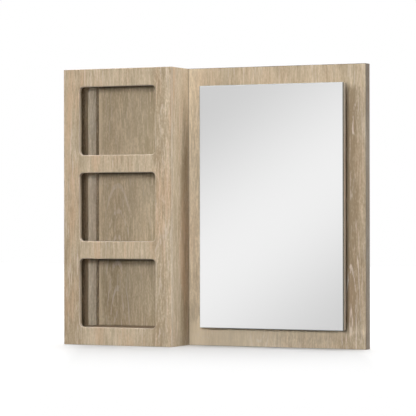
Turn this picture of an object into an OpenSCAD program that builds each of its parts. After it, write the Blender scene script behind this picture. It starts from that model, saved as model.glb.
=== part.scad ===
// Wall mirror with a three-niche shelf tower on one oak back board.
// Origin: middle of the wall cleat's screw line, on the wall plane.
// +X to the viewer's right, +Y into the wall, +Z up. Millimetres.

/* [Overall] */
// Overall width, across the tower and the mirror panel
overall_w = 914; // [860:1:1100]
// Overall height of the back board and the tower
overall_h = 813; // [700:1:1000]

/* [Back board] */
// Thickness of the back board that carries everything
board_t = 30; // [24:1:40]
// Thickness of the veneer bands on the board's four edges
band_t = 1; // [0.6:0.1:3]

/* [Shelf tower] */
// Width of the tower
tower_w = 355; // [320:1:400]
// Depth of the tower's inside, from the back board to the face panel
inner_d = 102.3; // [80:0.1:140]
// Thickness of the face panel
face_t = 12.7; // [12:0.1:18]
// Thickness of the two sides
side_t = 30; // [22:1:40]
// Thickness of the shelves and of the top board
shelf_t = 30; // [20:1:38]

/* [Face openings] */
// Width of the face on both sides of the openings
stile_w = 52.5; // [50:0.5:70]
// Height of the face above, below and between the openings
rail_h = 52.5; // [52:0.5:70]
// Corner radius of the openings
corner_r = 12; // [6:1:25]
// Reach of the round-over on the openings' front edges
round_over = 2.5; // [2:0.5:5]
// Bevel on the outer edges of the face panel
face_ease = 1; // [0.5:0.5:2]

/* [Corner battens] */
// Width of the upright battens in the tower's back corners
batten_w = 27; // [22:1:36]
// Thickness of the battens
batten_t = 19; // [15:1:28]

/* [Mirror] */
// Margin from the mirror to the edges of its panel
mirror_margin = 54; // [40:1:80]
// Thickness of the mirror glass
glass_t = 6; // [4:1:8]
// Polished bevel on the glass's front edges
glass_arris = 1.5; // [0.5:0.5:2.5]
// Thickness of the mounting tape behind the glass
tape_t = 1; // [0.8:0.1:2]
// Width of one strip of mounting tape
tape_w = 25; // [15:1:40]
// Thickness of the board behind the glass
backing_t = 15; // [14:1:22]
// How far the backing board stays inside the glass
backing_inset = 1; // [0.5:0.5:5]

/* [Spacer frame] */
// Thickness of the spacer rails, the gap behind the floating mirror
spacer_t = 17; // [14:1:30]
// Width of the spacer rails
spacer_w = 40; // [30:1:50]
// How far the spacer rails stay inside the backing board
spacer_inset = 24; // [16:1:40]

/* [Hanging cleats] */
// Length of the wall cleat and of the hanger cleat
cleat_len = 460; // [430:1:560]
// Metal thickness of both cleats
cleat_t = 3; // [2.5:0.5:4]
// Height of each cleat's flat flange
flange_h = 26; // [20:1:36]
// Height over which the two hooks overlap
hook_h = 10; // [6:1:16]
// Distance from the top of the board down to the wall cleat's screw line
cleat_drop = 130; // [115:1:150]
// Distance between the wall cleat's two screw holes
wall_hole_pitch = 406.4; // [300:0.1:410]
// Diameter of the wall cleat's screw holes
wall_hole_d = 5.5; // [4:0.5:7]
// Number of screws that hold the hanger cleat
hanger_screw_count = 5; // [3:1:7]
// Distance from the hanger cleat's ends to its first and last screws
hanger_screw_end = 30; // [15:1:80]
// Diameter of the rubber wall bumpers
bumper_d = 22; // [14:1:30]
// Distance of the bumpers from the board's lower corners
bumper_inset = 45; // [30:1:80]

/* [Screws and dowels] */
// Shank diameter of the screws
shank_d = 4.5; // [3.5:0.5:5]
// Head diameter of the screws
head_d = 9; // [8:0.5:10]
// Head height of the screws
head_h = 2.5; // [2:0.1:3]
// How deep the hidden screw heads lie under the surface
head_sink = 1; // [0.5:0.5:3]
// How deep the long screws bite into the tower's sides
side_bite = 32; // [20:1:45]
// How deep the shorter screws bite into battens and backing board
thin_bite = 11; // [8:1:12]
// How deep the hanger screws bite into the back board
hanger_bite = 18; // [12:1:20]
// Diameter of the wooden dowels
dowel_d = 8; // [6:1:10]
// Depth of a dowel in a tower side
dowel_in_side = 12; // [8:1:16]
// Depth of a dowel in the end of a shelf
dowel_in_shelf = 28; // [18:1:36]
// Depth of a face dowel in the face panel
dowel_in_face = 8; // [6:1:9]
// Depth of a face dowel in the front edge of a side
dowel_in_edge = 15; // [10:1:20]

/* [Hidden] */
$fn = 48;

// Colours
oak = [0.72, 0.64, 0.53];
oak_inside = [0.62, 0.55, 0.45];
black_stain = [0.13, 0.12, 0.11];
beech = [0.85, 0.73, 0.56];
silvered = [0.86, 0.88, 0.89];
tape_grey = [0.30, 0.31, 0.32];
zinc = [0.70, 0.70, 0.72];
aluminium = [0.78, 0.79, 0.80];
rubber = [0.16, 0.16, 0.17];

// Clearances, on diameters unless they say otherwise
hole_play = 0.5;       // screw shank in a through hole
pilot_play = 0.2;      // screw shank in the wood that it bites
head_play = 1;         // screw head in its counterbore
dowel_play = 0.2;      // dowel in its bore
dowel_glue_gap = 1;    // free length at one end of a dowel's bore
pilot_glue_gap = 1;    // free length past a screw's tip
hook_play = 0.2;       // beside each cleat hook, per side
notch_play = 0.5;      // between a shelf's notch and the batten, per side
over = 1;              // how far a cut runs past the face it starts on

// Levels along Z
z_top = cleat_drop;
z_bottom = z_top - overall_h;
opening_count = 3;
opening_h = (overall_h - (opening_count + 1) * rail_h) / opening_count;
opening_w = tower_w - 2 * stile_w;
bottom_t = rail_h - shelf_t;
function opening_z(i) = z_bottom + rail_h + i * (opening_h + rail_h);
function opening_mid(i) = opening_z(i) + opening_h / 2;

// Places along X
x_left = -overall_w / 2;
x_right = overall_w / 2;
x_tower = x_left + tower_w;
x_inside = [x_left + side_t, x_tower - side_t];
x_sides = [x_left + side_t / 2, x_tower - side_t / 2];
x_battens = [x_inside[0] + batten_w / 2, x_inside[1] - batten_w / 2];
x_opening = x_left + tower_w / 2;

// Planes along Y, from the wall forwards
wall_gap = 2 * (cleat_t + hook_play);
y_board_back = -wall_gap;
y_board = y_board_back - board_t;
y_face_back = y_board - inner_d;
y_face = y_face_back - face_t;
y_spacer = y_board - spacer_t;
y_backing = y_spacer - backing_t;
y_tape = y_backing - tape_t;
y_glass = y_tape - glass_t;

// Mirror, backing board and spacer frame, as [left, right] and [lower, upper]
mirror_x = [x_tower + mirror_margin, x_right - mirror_margin];
mirror_z = [z_bottom + mirror_margin, z_top - mirror_margin];
backing_x = inset(mirror_x, backing_inset);
backing_z = inset(mirror_z, backing_inset);
spacer_x = inset(backing_x, spacer_inset);
spacer_z = inset(backing_z, spacer_inset);
function inset(span, by) = [span[0] + by, span[1] - by];
function mid(span) = (span[0] + span[1]) / 2;

// Rows of fasteners
counterbore = head_h + head_sink;
screw_row_drop = 45;       // tower screws sit this far below the openings' middles
dowel_front_edge = 26;     // from a shelf's front edge to its front dowels
dowel_batten_gap = 11;     // from the battens to a shelf's back dowels
mirror_screw_end = 110;    // from a spacer rail's ends to its first mirror screw
spacer_screw_end = 60;     // from a spacer rail's ends to its first spacer screw
tape_end = 40;             // from the backing board's ends to the tape
tape_count = 4;
drive_w = 2.6;             // square recess in a screw head
drive_depth = 1.5;
tip_h = 5;                 // pointed end of a screw
tip_d = 0.8;
round_over_lead = 0.3;     // from the end of the round-over to the bit's centre

tower_screw_z = [for (i = [0 : opening_count - 1]) opening_mid(i) - screw_row_drop];
dowel_y = [y_board - batten_t - dowel_batten_gap, y_face_back + dowel_front_edge];
shelf_z = [for (i = [0 : opening_count - 1]) opening_z(i) - shelf_t];
cross_mid_z = concat(
    [z_bottom + bottom_t / 2, z_top - shelf_t / 2],
    [for (z = shelf_z) z + shelf_t / 2]
);
mirror_screw_x = [spacer_x[0] + spacer_w / 2, spacer_x[1] - spacer_w / 2];
mirror_screw_z = [spacer_z[0] + mirror_screw_end, mid(spacer_z), spacer_z[1] - mirror_screw_end];
spacer_side_screw_z = [spacer_z[0] + spacer_screw_end, spacer_z[1] - spacer_screw_end];
spacer_cross_screw_x = [
    spacer_x[0] + spacer_w + spacer_screw_end, spacer_x[1] - spacer_w - spacer_screw_end
];
spacer_cross_screw_z = [spacer_z[0] + spacer_w / 2, spacer_z[1] - spacer_w / 2];
face_dowel_z = [for (i = [0 : opening_count - 1]) opening_mid(i)];

// Cleats: the wall cleat's hook points up and the hanger cleat's hook points down
wall_web_z = flange_h / 2;
hook_foot_z = wall_web_z + cleat_t;
hanger_web_z = hook_foot_z + hook_h;
hanger_hole_z = hanger_web_z + cleat_t + flange_h / 2;
hanger_screw_run = cleat_len - 2 * hanger_screw_end;
hanger_screw_x = [
    for (i = [0 : hanger_screw_count - 1]) (i / (hanger_screw_count - 1) - 1 / 2) * hanger_screw_run
];
wall_hole_x = [-wall_hole_pitch / 2, wall_hole_pitch / 2];

// ---- Shapes that repeat ----

// A block between two opposite corners
module slab(low, high) {
    translate(low) cube(high - low);
}

// A round rod or bore along Y between two planes
module y_rod(d, x, z, y_from, y_to) {
    translate([x, y_from, z]) rotate([-90, 0, 0]) cylinder(d = d, h = y_to - y_from);
}

// A round rod or bore along X between two planes
module x_rod(d, y, z, x_from, x_to) {
    translate([x_from, y, z]) rotate([0, 90, 0]) cylinder(d = d, h = x_to - x_from);
}

// A screw driven towards -Y: the underside of its head is on y_seat
module screw(x, z, y_seat, length) {
    difference() {
        y_rod(head_d, x, z, y_seat, y_seat + head_h);
        slab(
            [x - drive_w / 2, y_seat + head_h - drive_depth, z - drive_w / 2],
            [x + drive_w / 2, y_seat + head_h + over, z + drive_w / 2]
        );
    }
    y_rod(shank_d, x, z, y_seat - length + tip_h, y_seat);
    translate([x, y_seat - length, z]) rotate([-90, 0, 0]) cylinder(d1 = tip_d, d2 = shank_d, h = tip_h);
}

// The counterbored through hole for such a screw, in a piece from y_front to y_back
module sunk_hole(x, z, y_front, y_back) {
    y_rod(shank_d + hole_play, x, z, y_front - over, y_back);
    y_rod(head_d + head_play, x, z, y_back - counterbore, y_back + over);
}

// The pilot hole in the piece that the screw bites, open at y_back
module pilot_hole(x, z, y_back, bite) {
    y_rod(shank_d + pilot_play, x, z, y_back - bite - pilot_glue_gap, y_back + over);
}

// A dowel bore along X in the end of a board, open at x_open, running towards dir
module dowel_bore(y, z, x_open, depth, dir) {
    x_rod(
        dowel_d + dowel_play, y, z,
        dir > 0 ? x_open - over : x_open - depth, dir > 0 ? x_open + depth : x_open + over
    );
}

// A plate with bevelled front edges; its front face is on y_low
module bevelled_plate(span_x, y_low, t, span_z, bevel) {
    intersection() {
        translate([0, 0, span_z[0]]) linear_extrude(span_z[1] - span_z[0]) polygon([
            [span_x[0] + bevel, y_low], [span_x[1] - bevel, y_low], [span_x[1], y_low + bevel],
            [span_x[1], y_low + t], [span_x[0], y_low + t], [span_x[0], y_low + bevel]
        ]);
        translate([span_x[0], 0, 0]) rotate([90, 0, 90]) linear_extrude(span_x[1] - span_x[0]) polygon([
            [y_low, span_z[0] + bevel], [y_low, span_z[1] - bevel], [y_low + bevel, span_z[1]],
            [y_low + t, span_z[1]], [y_low + t, span_z[0]], [y_low + bevel, span_z[0]]
        ]);
    }
}

// ---- Back board and its edge bands ----

module back_board() {
    color(oak) difference() {
        slab(
            [x_left + band_t, y_board, z_bottom + band_t],
            [x_right - band_t, y_board_back, z_top - band_t]
        );
        for (z = tower_screw_z, x = concat(x_sides, x_battens)) sunk_hole(x, z, y_board, y_board_back);
        for (z = mirror_screw_z, x = mirror_screw_x) sunk_hole(x, z, y_board, y_board_back);
        for (x = hanger_screw_x) pilot_hole(x, hanger_hole_z, y_board_back, hanger_bite);
    }
}

module edge_band_side(x) {
    color(oak) slab([x, y_board, z_bottom], [x + band_t, y_board_back, z_top]);
}

module edge_band_cross(z) {
    color(oak) slab([x_left + band_t, y_board, z], [x_right - band_t, y_board_back, z + band_t]);
}

// ---- Tower face with its three routed openings ----

// Rounded rectangle in the plane, centred
module rounded_outline(w, h, r) {
    square([w - 2 * r, h], center = true);
    square([w, h - 2 * r], center = true);
    for (sx = [-1, 1], sy = [-1, 1]) translate([sx * (w / 2 - r), sy * (h / 2 - r)]) circle(r);
}

// What the round-over bit takes away, beside the opening's wall at x = 0, front face at y = 0.
// The bit's arc runs a little past both faces, so it meets them at a slight angle.
module round_over_profile() {
    centre = round_over + round_over_lead;
    bit_r = sqrt(pow(centre, 2) + pow(round_over_lead, 2));
    difference() {
        translate([-over, -centre]) square(centre + over);
        translate([centre, -centre]) circle(bit_r);
    }
}

// The cut for one opening, seen from the front: face at z = 0, running to -z
module opening_cut() {
    translate([0, 0, -face_t - over]) linear_extrude(face_t + 2 * over)
        rounded_outline(opening_w, opening_h, corner_r);
    for (turn = [0, 1]) {
        reach = turn == 0 ? opening_w : opening_h;
        run = (turn == 0 ? opening_h : opening_w) - 2 * corner_r;
        for (flip = [0, 180]) rotate(90 * turn + flip) translate([reach / 2, 0, 0])
            rotate([90, 0, 0]) linear_extrude(run, center = true) round_over_profile();
    }
    for (sx = [-1, 1], sy = [-1, 1])
        translate([sx * (opening_w / 2 - corner_r), sy * (opening_h / 2 - corner_r), 0])
            rotate(sx > 0 ? (sy > 0 ? 0 : -90) : (sy > 0 ? 90 : 180))
                rotate_extrude(angle = 90) translate([corner_r, 0]) round_over_profile();
}

module tower_face() {
    color(oak) difference() {
        bevelled_plate([x_left, x_tower], y_face, face_t, [z_bottom, z_top], face_ease);
        for (i = [0 : opening_count - 1])
            translate([x_opening, y_face, opening_mid(i)]) rotate([90, 0, 0]) opening_cut();
        for (z = face_dowel_z, x = x_sides)
            y_rod(dowel_d + dowel_play, x, z, y_face_back - dowel_in_face, y_face_back + over);
    }
}

// ---- Tower carcass ----

// A side between two X planes; x_open is the one that faces the shelves
module tower_side(x_low, x_open, dir) {
    x_high = x_low + side_t;
    x_mid = x_low + side_t / 2;
    color(oak) difference() {
        slab([x_low, y_face_back, z_bottom], [x_high, y_board, z_top]);
        for (z = cross_mid_z, y = dowel_y) dowel_bore(y, z, x_open, dowel_in_side, dir);
        for (z = tower_screw_z) pilot_hole(x_mid, z, y_board, side_bite);
        for (z = face_dowel_z)
            y_rod(dowel_d + dowel_play, x_mid, z,
                y_face_back - over, y_face_back + dowel_in_edge + dowel_glue_gap);
    }
}

// A board across the tower's inside, drilled for its dowels
module cross_board(z, t) {
    difference() {
        slab([x_inside[0], y_face_back, z], [x_inside[1], y_board, z + t]);
        for (y = dowel_y) {
            dowel_bore(y, z + t / 2, x_inside[0], dowel_in_shelf + dowel_glue_gap, 1);
            dowel_bore(y, z + t / 2, x_inside[1], dowel_in_shelf + dowel_glue_gap, -1);
        }
    }
}

// A shelf is notched round the battens in its back corners
module shelf(i) {
    color(oak_inside) difference() {
        cross_board(shelf_z[i], shelf_t);
        for (x = x_battens) slab(
            [x - batten_w / 2 - notch_play, y_board - batten_t - notch_play, shelf_z[i] - over],
            [x + batten_w / 2 + notch_play, y_board + over, shelf_z[i] + shelf_t + over]
        );
    }
}

module corner_batten(x) {
    color(oak_inside) difference() {
        slab(
            [x - batten_w / 2, y_board - batten_t, z_bottom + bottom_t],
            [x + batten_w / 2, y_board, z_top - shelf_t]
        );
        for (z = tower_screw_z) pilot_hole(x, z, y_board, thin_bite);
    }
}

module shelf_dowels() {
    color(beech) for (z = cross_mid_z, y = dowel_y) {
        x_rod(dowel_d, y, z, x_inside[0] - dowel_in_side, x_inside[0] + dowel_in_shelf);
        x_rod(dowel_d, y, z, x_inside[1] - dowel_in_shelf, x_inside[1] + dowel_in_side);
    }
}

module face_dowels() {
    color(beech) for (z = face_dowel_z, x = x_sides)
        y_rod(dowel_d, x, z, y_face_back - dowel_in_face, y_face_back + dowel_in_edge);
}

module tower_screws() {
    color(zinc) for (z = tower_screw_z) {
        for (x = x_sides) screw(x, z, y_board_back - counterbore, board_t - counterbore + side_bite);
        for (x = x_battens) screw(x, z, y_board_back - counterbore, board_t - counterbore + thin_bite);
    }
}

// ---- Floating mirror ----

module mirror_glass() {
    color(silvered) bevelled_plate(mirror_x, y_glass, glass_t, mirror_z, glass_arris);
}

module mirror_tape() {
    first = backing_x[0] + tape_end + tape_w / 2;
    last = backing_x[1] - tape_end - tape_w / 2;
    color(tape_grey) for (i = [0 : tape_count - 1]) {
        x = first + i * (last - first) / (tape_count - 1);
        slab(
            [x - tape_w / 2, y_tape, backing_z[0] + tape_end],
            [x + tape_w / 2, y_backing, backing_z[1] - tape_end]
        );
    }
}

module mirror_backing() {
    color(oak) difference() {
        slab([backing_x[0], y_backing, backing_z[0]], [backing_x[1], y_spacer, backing_z[1]]);
        for (z = spacer_side_screw_z, x = mirror_screw_x) pilot_hole(x, z, y_spacer, thin_bite);
        for (z = spacer_cross_screw_z, x = spacer_cross_screw_x) pilot_hole(x, z, y_spacer, thin_bite);
    }
}

// An upright spacer rail; x_low is its left face
module spacer_upright(x_low) {
    x_mid = x_low + spacer_w / 2;
    color(black_stain) difference() {
        slab([x_low, y_spacer, spacer_z[0]], [x_low + spacer_w, y_board, spacer_z[1]]);
        for (z = mirror_screw_z) pilot_hole(x_mid, z, y_board, thin_bite);
        for (z = spacer_side_screw_z) sunk_hole(x_mid, z, y_spacer, y_board);
    }
}

// A level spacer rail between the uprights; z_low is its lower face
module spacer_level(z_low) {
    color(black_stain) difference() {
        slab(
            [spacer_x[0] + spacer_w, y_spacer, z_low],
            [spacer_x[1] - spacer_w, y_board, z_low + spacer_w]
        );
        for (x = spacer_cross_screw_x) sunk_hole(x, z_low + spacer_w / 2, y_spacer, y_board);
    }
}

module spacer_screws() {
    length = spacer_t - counterbore + thin_bite;
    color(zinc) {
        for (z = spacer_side_screw_z, x = mirror_screw_x)
            screw(x, z, y_board - counterbore, length);
        for (z = spacer_cross_screw_z, x = spacer_cross_screw_x)
            screw(x, z, y_board - counterbore, length);
    }
}

module mirror_screws() {
    color(zinc) for (z = mirror_screw_z, x = mirror_screw_x)
        screw(x, z, y_board_back - counterbore, board_t - counterbore + thin_bite);
}

// ---- Hanging ----

// A metal section drawn in Y and Z, as long as a cleat
module cleat_section(points) {
    translate([-cleat_len / 2, 0, 0]) rotate([90, 0, 90]) linear_extrude(cleat_len) polygon(points);
}

module wall_cleat() {
    y_hook_back = -cleat_t - hook_play;
    y_hook_front = y_hook_back - cleat_t;
    color(aluminium) difference() {
        cleat_section([
            [0, -flange_h / 2], [0, hook_foot_z], [y_hook_back, hook_foot_z], [y_hook_back, hanger_web_z],
            [y_hook_front, hanger_web_z], [y_hook_front, wall_web_z], [-cleat_t, wall_web_z],
            [-cleat_t, -flange_h / 2]
        ]);
        for (x = wall_hole_x) y_rod(wall_hole_d, x, 0, -cleat_t - over, over);
    }
}

module hanger_cleat() {
    y_hook_front = -cleat_t - hook_play;
    y_flange_back = y_board_back + cleat_t;
    web_top = hanger_web_z + cleat_t;
    color(aluminium) difference() {
        cleat_section([
            [y_hook_front, hook_foot_z], [y_hook_front, hanger_web_z], [y_board_back, hanger_web_z],
            [y_board_back, web_top + flange_h], [y_flange_back, web_top + flange_h],
            [y_flange_back, web_top], [-hook_play, web_top], [-hook_play, hook_foot_z]
        ]);
        for (x = hanger_screw_x)
            y_rod(shank_d + hole_play, x, hanger_hole_z, y_board_back - over, y_flange_back + over);
    }
}

module hanger_screws() {
    color(zinc) for (x = hanger_screw_x)
        screw(x, hanger_hole_z, y_board_back + cleat_t, cleat_t + hanger_bite);
}

module wall_bumpers() {
    taper = 3;
    color(rubber) for (side = [-1, 1])
        translate([side * (x_right - bumper_inset), y_board_back, z_bottom + bumper_inset])
            rotate([-90, 0, 0]) cylinder(d1 = bumper_d, d2 = bumper_d - taper, h = wall_gap);
}

// ---- Assembly ----

back_board();
edge_band_side(x_left);  // edge_band_left
edge_band_side(x_right - band_t);  // edge_band_right
edge_band_cross(z_top - band_t);  // edge_band_top
edge_band_cross(z_bottom);  // edge_band_bottom
tower_face();
tower_side(x_left, x_inside[0], -1);  // tower_left_side
tower_side(x_inside[1], x_inside[1], 1);  // tower_right_side
color(oak_inside) cross_board(z_top - shelf_t, shelf_t);  // tower_top
color(oak_inside) cross_board(z_bottom, bottom_t);  // tower_bottom
shelf(2);  // shelf_upper
shelf(1);  // shelf_middle
shelf(0);  // shelf_lower
corner_batten(x_battens[0]);  // corner_batten_left
corner_batten(x_battens[1]);  // corner_batten_right
shelf_dowels();
face_dowels();
tower_screws();
mirror_glass();
mirror_tape();
mirror_backing();
spacer_upright(spacer_x[0]);  // spacer_left
spacer_upright(spacer_x[1] - spacer_w);  // spacer_right
spacer_level(spacer_z[1] - spacer_w);  // spacer_top
spacer_level(spacer_z[0]);  // spacer_bottom
spacer_screws();
mirror_screws();
hanger_cleat();
hanger_screws();
wall_cleat();
wall_bumpers();
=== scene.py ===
"""Looks of a wall mirror with a three-niche shelf tower, in whitewashed oak.

Metres, in the CAD frame: +X to the viewer's right, +Y into the wall, +Z up.
"""

import math

import bpy
from mathutils import Matrix, Vector


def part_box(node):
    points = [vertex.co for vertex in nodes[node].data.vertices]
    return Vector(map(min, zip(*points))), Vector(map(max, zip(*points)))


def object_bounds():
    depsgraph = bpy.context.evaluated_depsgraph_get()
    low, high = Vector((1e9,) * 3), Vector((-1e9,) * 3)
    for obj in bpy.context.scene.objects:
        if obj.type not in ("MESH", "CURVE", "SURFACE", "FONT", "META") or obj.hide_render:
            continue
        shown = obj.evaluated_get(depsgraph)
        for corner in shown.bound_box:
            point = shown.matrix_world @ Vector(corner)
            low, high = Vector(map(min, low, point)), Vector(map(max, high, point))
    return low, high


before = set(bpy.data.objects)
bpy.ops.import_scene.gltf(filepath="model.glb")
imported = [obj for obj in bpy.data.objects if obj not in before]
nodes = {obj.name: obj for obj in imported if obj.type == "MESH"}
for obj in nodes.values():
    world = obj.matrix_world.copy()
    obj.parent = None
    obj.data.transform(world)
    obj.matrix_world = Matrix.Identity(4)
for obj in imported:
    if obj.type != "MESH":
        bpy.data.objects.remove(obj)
cad_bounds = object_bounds()

MM = 0.001
AXES = ("X", "Y", "Z")
WHITE = (1, 1, 1, 1)


# ---- Helpers -----------------------------------------------------------------------------------


def srgb(red, green, blue):
    """A colour as a screen shows it, from 0 to 255, as the linear values that shaders take."""
    def linear(value):
        value /= 255
        return value / 12.92 if value <= 0.04045 else ((value + 0.055) / 1.055) ** 2.4

    return (linear(red), linear(green), linear(blue), 1.0)


def shifted(colour, *steps):
    """The same, for a colour whose red, green and blue are each moved by a step."""
    return srgb(*(value + step for value, step in zip(colour, steps)))


class Shading:
    """A material's or the world's node tree, built call by call."""

    def __init__(self, owner):
        owner.use_nodes = True
        self.owner = owner
        self.tree = owner.node_tree
        self.tree.nodes.clear()

    def put(self, value, socket):
        """Links a socket, or sets a plain value."""
        if isinstance(value, bpy.types.NodeSocket):
            self.tree.links.new(value, socket)
        else:
            socket.default_value = value

    def node(self, kind, settings=None, **inputs):
        made = self.tree.nodes.new(kind)
        for name, value in (settings or {}).items():
            setattr(made, name, value)
        for name, value in inputs.items():
            self.put(value, made.inputs[name.replace("_", " ")])
        return made

    def math(self, operation, *values):
        made = self.node("ShaderNodeMath", {"operation": operation})
        for socket, value in zip(made.inputs, values):
            self.put(value, socket)
        return made.outputs[0]

    def plus(self, total, *others):
        for other in others:
            total = self.math("ADD", total, other)
        return total

    def times(self, total, *others):
        for other in others:
            total = self.math("MULTIPLY", total, other)
        return total

    def absolute(self, value):
        return self.math("ABSOLUTE", value)

    def vector(self, operation, *vectors):
        """The number that a vector operation gives."""
        made = self.node("ShaderNodeVectorMath", {"operation": operation})
        for socket, value in zip(made.inputs, vectors):
            self.put(value, socket)
        return made.outputs["Value"]

    def mix(self, factor, low, high):
        made = self.node("ShaderNodeMix", {"data_type": "RGBA"})
        self.put(factor, made.inputs["Factor"])
        colours = [s for s in made.inputs if s.type == "RGBA"]
        self.put(low, colours[0])
        self.put(high, colours[1])
        return [s for s in made.outputs if s.type == "RGBA"][0]

    def place(self):
        return self.node("ShaderNodeTexCoord").outputs["Object"]

    def axes(self, vector):
        """A vector's three numbers, by the name of the axis."""
        return self.node("ShaderNodeSeparateXYZ", Vector=vector).outputs

    def normal(self, kind):
        """The way that the surface faces: Normal, with its smoothing, or True Normal without."""
        return self.axes(self.node("ShaderNodeNewGeometry").outputs[kind])

    def stretched(self, place, scale, shift=(0, 0, 0)):
        return self.node(
            "ShaderNodeMapping", Vector=place, Location=shift, Scale=scale
        ).outputs[0]

    def noise(self, place, scale=1.0, detail=2.0, roughness=0.5):
        return self.node(
            "ShaderNodeTexNoise", Vector=place, Scale=scale, Detail=detail, Roughness=roughness
        ).outputs["Fac"]

    def span(self, value, low, high, to_low=0.0, to_high=1.0, smooth=True, held=True):
        """Takes low..high to to_low..to_high, held at both ends unless told otherwise."""
        kind = "SMOOTHSTEP" if smooth else "LINEAR"
        made = self.node("ShaderNodeMapRange", {"interpolation_type": kind, "clamp": held})
        for name, number in zip(
            ("Value", "From Min", "From Max", "To Min", "To Max"),
            (value, low, high, to_low, to_high),
        ):
            self.put(number, made.inputs[name])
        return made.outputs[0]

    def bump(self, height, distance, strength):
        return self.node(
            "ShaderNodeBump", Height=height, Distance=distance, Strength=strength
        ).outputs[0]

    def weigh(self, base, *parts):
        """base plus every (value, weight), where each value swings about one half."""
        swings = (self.times(self.math("SUBTRACT", value, 0.5), weight) for value, weight in parts)
        return self.plus(base, *swings)

    def glow(self, strength):
        return self.node("ShaderNodeEmission", Color=WHITE, Strength=strength)

    def shown(self, shader, output="ShaderNodeOutputMaterial"):
        """Makes the shader the look of the material or world that the tree belongs to."""
        self.tree.links.new(shader.outputs[0], self.node(output).inputs["Surface"])
        return self.owner

    def principled(self, **inputs):
        return self.shown(self.node("ShaderNodeBsdfPrincipled", **inputs))


def new_shading(name):
    return Shading(bpy.data.materials.new(name))


# ---- Oak ---------------------------------------------------------------------------------------

RING = 13 * MM              # from one ring line to the next
HEART_FADE = 0.01           # how far beyond its ends a heart's figure fades out
SEED_STEP = (0.731, 0.217, 1.373)       # how far a seed of 1 shifts the figure
PAST_LIGHT = 1.4            # how far the lightness runs, where 1 is the light colour
SAWN = (188, 176, 160)      # a cut edge
# painted shade: the darker wood of the faces inside the tower
INNER_SHADE_DARK, INNER_SHADE_LIGHT = (88, 76, 61), (194, 179, 155)   # the faces inside the tower


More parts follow.
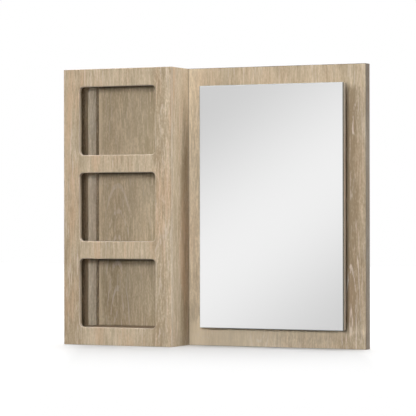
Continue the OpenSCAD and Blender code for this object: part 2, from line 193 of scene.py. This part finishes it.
class Oak(Shading):
    """The wood of one board. Its figure is made of noises that are drawn out along the grain."""

    def __init__(self, name, grain, seed):
        super().__init__(bpy.data.materials.new(name))
        self.grain = grain
        self.split = self.axes(self.place())
        across, depth = (axis for axis in AXES if axis != grain)
        self.across, self.along = self.split[across], self.split[grain]
        own = self.node("ShaderNodeCombineXYZ", X=self.across, Y=self.split[depth], Z=self.along)
        shift = [seed * step for step in SEED_STEP]
        self.own = self.stretched(own.outputs[0], (1, 1, 1), shift)

        self.streak = self.drawn(120, 11, detail=4, roughness=0.6)
        self.fleck = self.drawn(330, 34, detail=3, roughness=0.6)
        self.thread = self.drawn(215, 24, (4.6, 0.7, 5.2))
        self.fibre = self.drawn(1100, 60)
        self.lines = self.drawn(340, 16, (5.7, 2.3, 0.4), detail=3, roughness=0.55)
        self.limed = self.span(self.drawn(1500, 95, detail=1), 0.58, 0.72)
        self.lively = self.span(self.drawn(26, 6, (1.9, 4.4, 2.6), detail=1), 0.42, 0.60)

    def drawn(self, across, along, shift=(0, 0, 0), detail=2, roughness=0.5):
        """Noise with so many swings to the metre across the grain and along it."""
        place = self.stretched(self.own, (across, across, along), shift)
        return self.noise(place, detail=detail, roughness=roughness)

    def meeting(self, amount, spans):
        """amount where every span (axis, from, to) is at its far end, fading to 0 elsewhere."""
        ends = (self.span(self.split[axis], begin, end) for axis, begin, end in spans)
        return self.times(amount, *ends)

    def meetings(self, rows):
        return [self.meeting(amount, spans) for amount, *spans in rows]

    def lightness(self, tones, gain):
        """How pale the wood is: 0 at its dark colour, 1 at its light one. gain makes the pale
        flecks livelier, and hardly touches the dark ones."""
        broad = self.drawn(12, 2.6)
        band = self.drawn(42, 7, (8.2, 1.1, 3.9))
        speck = self.drawn(300, 120, (2.2, 6.1, 1.3), detail=1)
        slow = self.weigh(0.5, (broad, 0.8), (band, 0.55))
        fine = self.weigh(
            0.0,
            (self.streak, 0.60), (self.thread, 1.10), (self.fleck, 1.15),
            (speck, 0.90), (self.fibre, 0.5),
        )
        fine = self.math("MAXIMUM", self.times(fine, gain), self.times(fine, 0.75))
        return self.plus(slow, fine, self.times(self.limed, 0.12), *self.meetings(tones))

    def figured(self, value, hearts):
        """Pale thin lines, in arches where the rings close about a heart, drawn out by the drift
        of the fibres. Gives how chalky the wood is and its lightness, which falls near a heart."""
        chalk = self.times(self.span(self.lines, 0.57, 0.65), self.lively, 0.55)
        if not hearts:
            return chalk, value
        drift = self.drawn(13, 3.5, detail=3)
        wander = self.weigh(0.0, (drift, 0.026), (self.streak, 0.010))
        for centre, top, reach, rise, low, high, strength in hearts:
            side = self.plus(self.math("SUBTRACT", self.across, centre), wander)
            bend = self.times(self.math("SUBTRACT", self.along, top), rise)
            radius = self.math("SQRT", self.plus(self.times(side, side), self.times(bend, bend)))
            wave = self.math("SINE", self.times(radius, 2 * math.pi / RING))
            crest = self.span(wave, 0.90 - 0.17 * strength, 0.98)
            ends = (
                (self.grain, low - HEART_FADE, low),
                (self.grain, high + HEART_FADE, high),
            )
            near = self.times(
                self.span(self.absolute(side), reach * 0.6, reach, 1, 0),
                self.meeting(strength, ends),
            )
            broken = self.plus(self.fleck, self.math("SUBTRACT", self.streak, 0.5))
            line = self.times(crest, near, self.span(broken, 0.38, 0.56))
            chalk = self.math("MAXIMUM", chalk, line)
            value = self.math("SUBTRACT", value, self.times(near, 0.05))
        return chalk, value

    def tinted(self, value, chalk, gain, dark, light, rose):
        """The colour of a lightness, with white in the chalky lines, dark in the sunken ones, and
        rosy and smoky parts."""
        palest = [
            low + (high - low) * PAST_LIGHT for low, high in zip(srgb(*dark), srgb(*light))
        ]
        colour = self.mix(
            self.span(value, 0, PAST_LIGHT, smooth=False), srgb(*dark), palest
        )
        colour = self.mix(chalk, colour, shifted(light, 10, 14, 26))
        sunk = self.times(
            self.span(self.lines, 0.43, 0.33), self.lively, self.span(gain, 1.0, 1.5, 1, 0), 0.28
        )
        colour = self.mix(sunk, colour, shifted(dark, -10, -12, -12))
        blush = self.weigh(self.drawn(21, 3.2, (3.1, 0, 1.7)), (self.thread, 0.45))
        rosy = self.times(self.span(blush, 0.48, 0.72), rose)
        colour = self.mix(rosy, colour, shifted(light, -12, -31, -38))
        smoky = self.times(self.span(blush, 0.50, 0.28), 0.36)
        return self.mix(smoky, colour, shifted(dark, 8, 14, 16))

    def edged(self, colour, value, light, grey, inner):
        """The colour by the way that the wood faces: eased and cut edges hold more of the white,
        and a face inside the tower gets painted shade, a darker wood."""
        normal = self.normal("True Normal")
        x, y, z = (self.absolute(normal[axis]) for axis in AXES)
        square_on = self.math("MAXIMUM", self.math("MAXIMUM", x, y), z)
        eased = self.span(square_on, 0.90, 0.985, 1, 0)
        worn = self.times(eased, self.span(self.streak, 0.35, 0.6, 0.25, 0.6))
        colour = self.mix(worn, colour, shifted(light, -14, -12, 2))
        if grey:
            colour = self.mix(self.span(y, 0.30, 0.75, grey, 0), colour, srgb(*SAWN))
        if inner:
            axis, sign = inner
            # painted shade on a face inside the tower
            inner_shade = self.span(self.times(normal[axis], sign), 0.90, 0.98, 0, 0.80)
            shade_colour = self.mix(self.span(value, 0, 1), srgb(*INNER_SHADE_DARK), srgb(*INNER_SHADE_LIGHT))
            colour = self.mix(inner_shade, colour, shade_colour)
        return colour


def oak(
    name, dark, light, grain="Z", seed=0.0,
    hearts=(), tones=(), crisp=(), deep=(), grey=0.0, inner=None, rose=0.42,
):
    """Whitewashed oak. grain is the axis along the fibres and seed shifts the board's figure. Each
    heart is (across, along, reach, rise, low, high, strength): rings close into arches about that
    point, as far out as reach and between low and high along the grain, and rise says how fast
    they close. Each tone is (amount, spans...), a slow change of tone where all its spans
    (axis, from, to) meet, and crisp lists the same for livelier grain. Many of the tones are
    painted light and shade. deep is like them, with a colour after the amount: paint over the
    wood's own colour, mostly painted shade where the photo's shadow is deeper than the lamps draw
    it, in two places painted light, paler than the wood, and in one a yellower painted tint of
    light bounced about the niches. grey is how much paler the cut edges are, and rose how much of
    the wood is rosy. inner is (axis, sign), the way that a face inside the tower looks: painted
    shade makes its wood darker, because the photo shows it so. Whether that is the finish or the
    shadow, the photo doesn't tell."""
    s = Oak(name, grain, seed)
    gain = s.plus(1.0, *s.meetings(crisp))
    chalk, value = s.figured(s.lightness(tones, gain), hearts)
    colour = s.tinted(value, chalk, gain, dark, light, rose)
    colour = s.edged(colour, value, light, grey, inner)
    for amount, shade, *spans in deep:
        colour = s.mix(s.meeting(amount, spans), colour, srgb(*shade))

    relief = s.weigh(0.0, (s.fleck, 0.5), (s.fibre, 0.5), (s.limed, -0.35))
    return s.principled(
        Base_Color=colour,
        Roughness=s.span(s.streak, 0.3, 0.7, 0.66, 0.54),
        Normal=s.bump(relief, 0.25 * MM, 0.55),
    )


# ---- Other materials ---------------------------------------------------------------------------


# black wood for the spacers: painted shade, a dark thing that stands in for the shade in the gap
# behind the mirror
def gap_shade_wood(name):
    s = new_shading(name)
    fibre = s.noise(s.stretched(s.place(), (420, 420, 14)), detail=4, roughness=0.6)
    return s.principled(
        Base_Color=s.mix(s.span(fibre, 0.35, 0.7), srgb(18, 15, 13), srgb(44, 38, 33)),
        Roughness=s.span(fibre, 0.3, 0.7, 0.7, 0.5),
        Normal=s.bump(fibre, 0.2 * MM, 0.5),
    )


def dowel_wood(name):
    s = new_shading(name)
    fibre = s.noise(s.stretched(s.place(), (30, 500, 500)), detail=3)
    return s.principled(
        Base_Color=s.mix(fibre, srgb(205, 176, 134), srgb(232, 206, 168)),
        Roughness=0.6,
        Normal=s.bump(fibre, 0.1 * MM, 0.5),
    )


def mirror(name):
    """Silvered glass: a clear reflection on the flat, and a grey polished edge, with painted shade
    that makes it darker and greener where it looks to the right or down. The narrow slopes between
    the flat and the upper and lower edges carry painted highlights, paler, the lower one most."""
    s = new_shading(name)
    facing = s.normal("Normal")
    to_front = s.absolute(facing["Y"])
    flat = s.span(to_front, 0.76, 0.90)
    # painted shade on the polished edge where it looks to the right or down
    away = s.math("MAXIMUM", facing["X"], s.times(facing["Z"], -1))
    edge = s.mix(s.span(away, 0.2, 0.6), srgb(134, 141, 145), srgb(108, 109, 103))
    upright = s.absolute(facing["Z"])
    # painted highlights on the narrow slopes, the lower one paler
    sloping = s.times(s.span(to_front, 0.5, 0.65), s.span(upright, 0.5, 0.65))
    slope_highlight = s.mix(s.span(facing["Z"], -0.1, 0.1), srgb(224, 228, 229), srgb(186, 192, 195))
    edge = s.mix(sloping, edge, slope_highlight)
    haze = s.noise(s.stretched(s.place(), (14, 14, 14)), detail=3)
    return s.principled(
        Base_Color=s.mix(flat, edge, srgb(249, 249, 249)),
        Metallic=s.span(flat, 0, 1, 0.1, 1.0),
        Roughness=s.plus(s.span(haze, 0.4, 0.8, 0.004, 0.012), s.span(flat, 0, 1, 0.25, 0.0)),
    )


def metal(name, dark, light, roughness, stretch):
    s = new_shading(name)
    brushed = s.noise(s.stretched(s.place(), stretch), detail=4, roughness=0.65)
    cloud = s.noise(s.place(), scale=40, detail=2)
    return s.principled(
        Base_Color=s.mix(s.times(s.plus(brushed, cloud), 0.5), srgb(*dark), srgb(*light)),
        Metallic=1.0,
        Roughness=s.span(brushed, 0.3, 0.7, roughness, roughness + 0.14),
        Normal=s.bump(brushed, 0.03 * MM, 0.4),
    )


def soft_matter(name, dark, light, scale, depth):
    """Rubber or foam: an even, slightly mottled skin."""
    s = new_shading(name)
    grain = s.noise(s.place(), scale=scale, detail=4, roughness=0.6)
    return s.principled(
        Base_Color=s.mix(s.span(grain, 0.3, 0.7), srgb(*dark), srgb(*light)),
        Roughness=0.85,
        Normal=s.bump(grain, depth, 0.5),
    )


# ---- Where the looks go ------------------------------------------------------------------------

# each board's dark and light colour
PALE = ((160, 140, 113), (214, 197, 171))
SHADED = ((158, 139, 112), (210, 193, 168))
BATTEN = ((162, 148, 126), (216, 204, 184))
# the edge bands: a darker, greyer copy of the wood, painted shade of the board's edge faces
BAND = ((110, 98, 83), (152, 141, 125))
BACKING = ((132, 118, 101), (180, 169, 152))
# the shelves: a darker copy of the wood, painted shade in the niches
INSIDE = ((112, 94, 74), (158, 139, 116))

# paint for deep: painted shade, painted light, and a painted warm tint of bounced light
GLOOM = (60, 49, 36)
PAINTED_LIGHT = (230, 212, 184)
OLIVE = (172, 151, 108)

# parts of the back board: its face, that face at the mirror's height, and what the tower hides
FRONT = ("Y", -0.0340, -0.0362)
BESIDE = (FRONT, ("Z", 0.082, 0.050), ("Z", -0.660, -0.620))
BEHIND = (FRONT, ("X", -0.115, -0.130))

BOARD_HEARTS = (
    (-0.335, -0.690, 0.050, 0.17, -0.68, -0.43, 1.7),
    (-0.335, -0.690, 0.055, 0.17, -0.40, -0.19, 1.1),
    (0.412, -0.603, 0.040, 0.108, -0.68, -0.43, 1.2),
    (0.4145, -0.217, 0.014, 0.10, -0.26, -0.175, 1.3),
    (0.420, -0.030, 0.012, 0.08, -0.065, 0.01, 1.3),
    (-0.046, -0.690, 0.034, 0.45, -0.69, -0.64, 1.7),
    (0.128, -0.620, 0.034, 0.35, -0.69, -0.62, 1.7),
)
BOARD_TONES = (
    (0.36, FRONT, ("X", -0.035, -0.070)),
    # painted shade in the niches, and painted light higher up in the top two
    (-0.14, *BEHIND),
    (0.10, *BEHIND, ("Z", -0.15, -0.02)),
    (0.10, *BEHIND, ("Z", -0.36, -0.26), ("Z", -0.10, -0.15)),
    (-0.12, FRONT, ("X", -0.240, -0.180), ("X", -0.115, -0.130)),
    # painted light on the strip beside the tower, where the tower's shadow falls
    (0.30, FRONT, ("X", -0.082, -0.097), ("X", -0.110, -0.102)),
    # painted shade beside the mirror's right edge, and painted light further right
    (-0.60, ("X", 0.375, 0.398), *BESIDE),
    (0.60, ("X", 0.406, 0.456), *BESIDE),
    # painted light on the strip below the mirror, where the mirror's shadow falls
    (0.50, FRONT, ("Z", -0.600, -0.635), ("X", -0.110, -0.080)),
    (-0.45, FRONT, ("Z", -0.630, -0.650), ("X", 0.100, 0.330)),
    # a painted highlight on the board beside the left batten
    (0.45, FRONT, ("X", -0.385, -0.393)),
)
BOARD_CRISP = (
    (0.95, *BEHIND),
    (0.20, FRONT, ("X", 0.395, 0.405)),
    (0.40, FRONT, ("X", -0.030, -0.060), ("X", -0.110, -0.102), ("Z", 0.085, 0.075)),
    (0.30, FRONT, ("Z", -0.620, -0.635), ("X", -0.110, -0.102)),
    (-0.35, FRONT, ("Z", 0.075, 0.085)),
)
BOARD_DEEP = (
    # painted light on the strip below the mirror, where the mirror's shadow falls
    (0.60, PAINTED_LIGHT, FRONT, ("Z", -0.600, -0.635), ("X", 0.240, 0.040), ("X", -0.110, -0.080)),
    (
        0.40, PAINTED_LIGHT, FRONT,
        ("Z", -0.660, -0.640), ("Z", -0.600, -0.630), ("X", -0.060, -0.040), ("X", 0.42, 0.405),
    ),
    # the niches: yellower all over, a painted warm tint of bounced light, then painted shade at
    # the top of each, at the foot of the lowest, faintly all over, and all over the lowest
    (0.24, OLIVE, *BEHIND),
    (0.82, GLOOM, *BEHIND, ("Z", 0.074, 0.084)),
    (0.82, GLOOM, *BEHIND, ("Z", -0.184, -0.174), ("Z", -0.140, -0.165)),
    (0.82, GLOOM, *BEHIND, ("Z", -0.442, -0.432), ("Z", -0.400, -0.425)),
    (0.50, GLOOM, *BEHIND, ("Z", -0.626, -0.631)),
    (0.02, GLOOM, *BEHIND),
    (0.09, GLOOM, *BEHIND, ("Z", -0.380, -0.430)),
    # painted shade in the seam beside the tower, and on the strip to the right of the mirror
    (0.60, GLOOM, FRONT, ("X", -0.0992, -0.1004), ("X", -0.1030, -0.1015)),
    (0.42, GLOOM, *BESIDE, ("X", 0.4085, 0.4035), ("X", 0.390, 0.400)),
)
BAND_TONES = ((-0.55, ("Z", -0.14, 0.06)),)

FACE_HEARTS = (
    (-0.135, -0.80, 0.030, 0.10, -0.70, -0.20, 0.30),
    (-0.128, -0.12, 0.024, 0.12, -0.40, 0.10, 0.30),
)
FACE_TONES = (
    (-0.16, ("X", -0.380, -0.400)),
    (-0.12, ("X", -0.390, -0.410), ("Z", -0.150, -0.450)),
    (-0.30, ("X", -0.170, -0.158), ("X", -0.114, -0.128)),
    # painted shade over the face's right edge, higher up, where the light catches it
    (-0.40, ("X", -0.1080, -0.1030), ("Z", -0.45, -0.30)),
)
FACE_CRISP = ((0.60, ("X", -0.160, -0.150)), (-0.15, ("X", -0.150, -0.160)))

LEFT_TONES = (
    # painted shade towards the front, for the inner face in the shadow behind the face board
    (-0.40, ("Y", -0.050, -0.095)),
    # painted light towards the back of the inner face
    (0.35, ("Y", -0.090, -0.060), ("X", -0.431, -0.4275)),
)
# the side's strip next to the back board, where the next two rows paint the mirror's shadow
REAR = (("Y", -0.095, -0.076), ("Y", -0.044, -0.062))
RIGHT_TONES = (
    (-0.15, *REAR, ("Z", 0.09, 0.05)),
    (-0.27, *REAR, ("Z", -0.09, -0.15)),
    # painted shade on the front of the side, higher up, where the light catches it
    (-0.38, ("Y", -0.118, -0.142), ("Z", -0.17, -0.03)),
)
BATTEN_TONES = (
    (0.35, ("X", -0.413, -0.423)),
    (-0.25, ("X", -0.412, -0.403), ("Y", -0.0535, -0.0552), ("X", 0.0, -0.1)),
)


def give(material, *names):
    for name in names:
        slots = nodes[name].data.materials
        slots.clear()
        slots.append(material)


def dress_back():
    board = oak(
        "oak_board", *PALE, seed=1.0,
        hearts=BOARD_HEARTS, tones=BOARD_TONES, crisp=BOARD_CRISP, deep=BOARD_DEEP, rose=0.14,
    )
    give(board, "back_board")
    band = oak("oak_band", *BAND, seed=1.4, tones=BAND_TONES)
    give(band, "edge_band_left", "edge_band_right", "edge_band_top", "edge_band_bottom")


def dress_tower():
    face = oak(
        "oak_face", *PALE, seed=2.0,
        hearts=FACE_HEARTS, tones=FACE_TONES, crisp=FACE_CRISP, grey=0.40,
    )
    give(face, "tower_face")
    left = oak("oak_left_side", *PALE, seed=3.0, tones=LEFT_TONES, inner=("X", 1))
    give(left, "tower_left_side")
    right = oak("oak_right_side", *PALE, seed=4.0, tones=RIGHT_TONES, inner=("X", -1))
    give(right, "tower_right_side")
    give(oak("oak_backing", *BACKING, seed=5.0), "mirror_backing")
    for count, (name, sign) in enumerate((("tower_top", -1), ("tower_bottom", 1))):
        board = oak("oak_" + name, *SHADED, grain="X", seed=6.0 + count, inner=("Z", sign))
        give(board, name)
    for count, name in enumerate(("shelf_upper", "shelf_middle", "shelf_lower")):
        give(oak("oak_" + name, *INSIDE, grain="X", seed=8.0 + count), name)
    battens = (("corner_batten_left", 1), ("corner_batten_right", -1))
    for count, (name, sign) in enumerate(battens):
        batten = oak(
            "oak_" + name, *BATTEN, seed=12.0 + count,
            tones=BATTEN_TONES, inner=("X", sign), rose=0.15,
        )
        give(batten, name)


def dress_fittings():
    # the spacers in black: painted shade for the gap behind the mirror
    gap_shade = gap_shade_wood("black_stain")
    give(gap_shade, "spacer_left", "spacer_right", "spacer_top", "spacer_bottom")
    give(dowel_wood("beech"), "shelf_dowels", "face_dowels")
    give(mirror("silvered_glass"), "mirror_glass")
    foam = soft_matter("foam_tape", (62, 64, 66), (84, 86, 88), 900, 0.2 * MM)
    give(foam, "mirror_tape")
    zinc = metal("zinc", (150, 150, 152), (206, 207, 210), 0.3, (900, 900, 900))
    give(zinc, "tower_screws", "spacer_screws", "mirror_screws", "hanger_screws")
    aluminium = metal("aluminium", (176, 178, 180), (222, 224, 226), 0.32, (12, 1400, 1400))
    give(aluminium, "hanger_cleat", "wall_cleat")
    rubber = soft_matter("rubber", (30, 30, 31), (52, 52, 54), 600, 0.1 * MM)
    give(rubber, "wall_bumpers")


# by how many millimetres the edges of which pieces are eased
EASED = {
    0.7: (
        "tower_left_side", "tower_right_side", "tower_top", "tower_bottom",
        "corner_batten_left", "corner_batten_right",
    ),
    0.5: (
        "mirror_backing", "hanger_cleat", "wall_cleat",
        "spacer_left", "spacer_right", "spacer_top", "spacer_bottom",
    ),
}
SAME_POINT = 0.001 * MM
SHARP = math.radians(40)


def ease_edges():
    """Takes the sharpness off the edges of sawn boards and of the cleats."""
    for width, names in EASED.items():
        for name in names:
            weld = nodes[name].modifiers.new("weld", "WELD")
            weld.merge_threshold = SAME_POINT
            bevel = nodes[name].modifiers.new("ease", "BEVEL")
            bevel.width = width * MM
            bevel.segments = 2
            bevel.limit_method = "ANGLE"
            bevel.angle_limit = SHARP
            bevel.use_clamp_overlap = False


# ---- Camera and lamps --------------------------------------------------------------------------

MIDDLE = Vector((0.0, -0.04, -0.2765))      # about the object's middle: what lamps are aimed at

# where the photograph was taken from: 25 degrees to the right, level with the mirror
CAMERA_PLACE = (2.7742, -5.9766, -0.2945)
YAW, PITCH, ROLL = 0.44226, 0.00222, -0.00133
SENSOR, LENS = 36, 194.03                   # millimetres
CAMERA_END = 100

LARGE = (3.0, 3.0)
SUN_DISTANCE = 6            # where it stands changes nothing in its light
AMBIENT = 0.01              # the world's strength as a light


def make_camera():
    look = Vector((
        -math.sin(YAW) * math.cos(PITCH), math.cos(YAW) * math.cos(PITCH), math.sin(PITCH)
    ))
    level = Vector((math.cos(YAW), math.sin(YAW), 0))
    up = level.cross(look)
    right = math.cos(ROLL) * level + math.sin(ROLL) * up
    up = right.cross(look)
    data = bpy.data.cameras.new("camera")
    data.sensor_width = SENSOR
    data.lens = LENS
    data.clip_end = CAMERA_END
    camera = bpy.data.objects.new("camera", data)
    turn = Matrix((right, up, -look)).transposed().to_4x4()
    camera.matrix_world = Matrix.Translation(CAMERA_PLACE) @ turn
    bpy.context.scene.collection.objects.link(camera)
    bpy.context.scene.camera = camera
    bpy.context.view_layer.update()
    return camera


def receivers(name, pieces):
    """A collection of the pieces that a lamp lights. All the others still stop its light."""
    made = bpy.data.collections.get(name)
    if made is None:
        made = bpy.data.collections.new(name)
        for piece in pieces:
            made.objects.link(piece)
    return made


def towards(azimuth, elevation):
    """The direction to a lamp: azimuth in degrees from straight ahead to the viewer's right."""
    azimuth, elevation = math.radians(azimuth), math.radians(elevation)
    level = math.cos(elevation)
    return Vector((math.sin(azimuth) * level, -math.cos(azimuth) * level, math.sin(elevation)))


def aimed(name, data, direction, distance, by_mirror=False):
    """Puts a lamp at a distance in a direction from the object's middle, aimed at it. by_mirror
    says whether its light also comes off the mirror."""
    lamp = bpy.data.objects.new(name, data)
    lamp.location = MIDDLE + direction * distance
    lamp.rotation_euler = (-direction).to_track_quat("-Z", "Y").to_euler()
    lamp.visible_glossy = by_mirror
    lamp.visible_camera = False
    bpy.context.scene.collection.objects.link(lamp)
    return lamp


def softbox(name, azimuth, elevation, distance, size, power, by_mirror=False):
    """A lamp for the object alone. The angles are in degrees and the power is in watts."""
    data = bpy.data.lights.new(name, "AREA")
    data.shape = "RECTANGLE"
    data.size, data.size_y = size
    data.energy = power
    lamp = aimed(name, data, towards(azimuth, elevation), distance, by_mirror)
    lamp.light_linking.receiver_collection = receivers("the_object", nodes.values())


def overhead(name, azimuth, elevation, spread, strength, floor):
    """A broad, even light from above and behind, which draws the object's shadow on the floor. It
    lights the floor alone: with the softboxes it would be too much for the faces that look up. The
    angles are in degrees."""
    data = bpy.data.lights.new(name, "SUN")
    data.angle = math.radians(spread)
    data.energy = strength
    lamp = aimed(name, data, towards(azimuth, elevation), SUN_DISTANCE)
    lamp.light_linking.receiver_collection = receivers("the_floor", [floor])


def light_it(floor):
    softbox("key", 12.5, 6, 5, (0.8, 1.0), 136)
    softbox("right_side", 88, 5, 8, LARGE, 122, by_mirror=True)
    softbox("right_top", 80, 62, 8, LARGE, 640, by_mirror=True)
    softbox("left_fill", -60, 18, 8, LARGE, 265)
    softbox("top_fill", -5, 60, 8, LARGE, 92)
    softbox("back_fill", 180, 5, 8, LARGE, 480)
    overhead("overhead", 205, 75, 80, 3.4, floor)


# ---- Stage -------------------------------------------------------------------------------------


def seen_directly(s):
    """1 for rays from the camera, from a mirror or through glass, and 0 for the light that falls on
    matt surfaces."""
    path = s.node("ShaderNodeLightPath").outputs
    bent = s.math("MAXIMUM", path["Is Glossy Ray"], path["Is Transmission Ray"])
    return s.math("MAXIMUM", path["Is Camera Ray"], bent)


def make_world():
    """White to look at, and nearly dark as a light."""
    world = bpy.data.worlds.new("studio")
    bpy.context.scene.world = world
    s = Shading(world)
    strength = s.span(seen_directly(s), 0, 1, AMBIENT, 1.0, smooth=False)
    back = s.node("ShaderNodeBackground", Color=WHITE, Strength=strength)
    s.shown(back, "ShaderNodeOutputWorld")


def square_sheet(name, half, z, material):
    """A flat square about the origin."""
    mesh = bpy.data.meshes.new(name)
    corners = [(-half, -half, z), (half, -half, z), (half, half, z), (-half, half, z)]
    mesh.from_pydata(corners, [], [(0, 1, 2, 3)])
    mesh.materials.append(material)
    made = bpy.data.objects.new(name, mesh)
    bpy.context.scene.collection.objects.link(made)
    return made


FLOOR_HALF = 9
FLOOR_GAP = 0.5 * MM
FLOOR_SHOWN = (0.69, 0.69, 0.69, 1)         # its grey as the camera and the mirror see it
FLOOR_THROWN = (0.06, 0.06, 0.06, 1)        # and for the light that it throws back
FLOOR_GLOW = 0.27


def make_floor():
    """A white floor that keeps the object's soft shadow. It throws little light back up. Its glow
    is stronger beyond the object's left and right ends."""
    s = new_shading("floor_white")
    seen = seen_directly(s)
    matt = s.node("ShaderNodeBsdfDiffuse", Color=s.mix(seen, FLOOR_THROWN, FLOOR_SHOWN))
    across = s.vector("DOT_PRODUCT", s.place(), (math.cos(YAW), math.sin(YAW), 0))
    beyond = s.math(
        "MAXIMUM",
        s.span(across, -0.40, -0.49, 0, 0.16),
        s.span(across, 0.36, 0.42, 0, 0.12),
    )
    lit = s.glow(s.times(seen, s.plus(beyond, FLOOR_GLOW)))
    both = s.node("ShaderNodeAddShader")
    s.tree.links.new(matt.outputs[0], both.inputs[0])
    s.tree.links.new(lit.outputs[0], both.inputs[1])
    low, _ = cad_bounds
    return square_sheet("floor", FLOOR_HALF, low.z - FLOOR_GAP, s.shown(both))


CARD_DISTANCE, CARD_HALF = 0.9, 0.75
CARD_DIMMEST = 0.5
CARD_LEAN = 0.44            # how much flatter the bright line is than the mirror's diagonal
CARD_END = 0.95             # how far from that line the light keeps changing
# the light is a polynomial in the distance from the line, given here from the fourth power down,
# and the first power's share falls by CARD_CHANGE along the line
CARD_POWERS = (0.2764, -0.0798, -0.5195, 0.0817, 0.9115)
CARD_CHANGE = 0.0443
CARD_RIM = (0.48, 0.74)     # where, from its middle, it goes over to white


def make_reflected_card(camera):
    """A pale card in front of the mirror, for its reflection only. It is brightest near a line
    through its middle that rises to the right. The numbers of its light were fitted to greys
    measured in the photo's mirror."""
    glass_low, glass_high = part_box("mirror_glass")
    middle = (glass_low + glass_high) / 2
    middle.y = glass_low.y
    eye = camera.matrix_world.translation
    image = Vector((eye.x, 2 * glass_low.y - eye.y, eye.z))
    away = (middle - image).normalized()
    centre = middle + away * CARD_DISTANCE
    side = away.cross(Vector((0, 0, 1))).normalized() * -1
    up = side.cross(away) * -1
    turn = Matrix((side, up, away)).transposed().to_4x4()
    stand = Matrix.Translation(centre) @ turn

    def shown_at(x, z):
        """Where a point of the glass shows on the card, in the card's own measure."""
        ray = (Vector((x, glass_low.y, z)) - image).normalized()
        reach = (centre - image).dot(away) / ray.dot(away)
        return stand.inverted() @ (image + ray * reach)

    left, right = shown_at(glass_low.x, middle.z).x, shown_at(glass_high.x, middle.z).x
    foot, top = shown_at(middle.x, glass_low.z).y, shown_at(middle.x, glass_high.z).y

    s = new_shading("reflected_card")
    place = s.axes(s.place())
    u = s.span(place["X"], left, right, -0.5, 0.5, smooth=False, held=False)
    v = s.span(place["Y"], foot, top, -0.5, 0.5, smooth=False, held=False)
    along = s.plus(u, v)
    across = s.math("SUBTRACT", s.math("SUBTRACT", u, v), s.times(along, CARD_LEAN))
    across = s.math("MINIMUM", s.math("MAXIMUM", across, -CARD_END), CARD_END)
    fourth, third, second, first, level = CARD_POWERS
    first = s.math("SUBTRACT", first, s.times(along, CARD_CHANGE))
    light = fourth
    for lower in (third, second, first, level):
        light = s.plus(s.times(light, across), lower)
    light = s.math("MAXIMUM", light, CARD_DIMMEST)
    rim = s.span(s.vector("LENGTH", s.place()), *CARD_RIM, CARD_DIMMEST, 1.0)
    light = s.math("MAXIMUM", light, rim)
    card = square_sheet("reflected_card", CARD_HALF, 0, s.shown(s.glow(light)))
    card.matrix_world = stand
    card.visible_camera = False
    card.visible_diffuse = False
    card.visible_transmission = False
    card.visible_shadow = False


def build():
    bpy.context.scene.view_settings.view_transform = "Standard"
    dress_back()
    dress_tower()
    dress_fittings()
    ease_edges()
    make_world()
    floor = make_floor()
    make_reflected_card(make_camera())
    light_it(floor)


build()
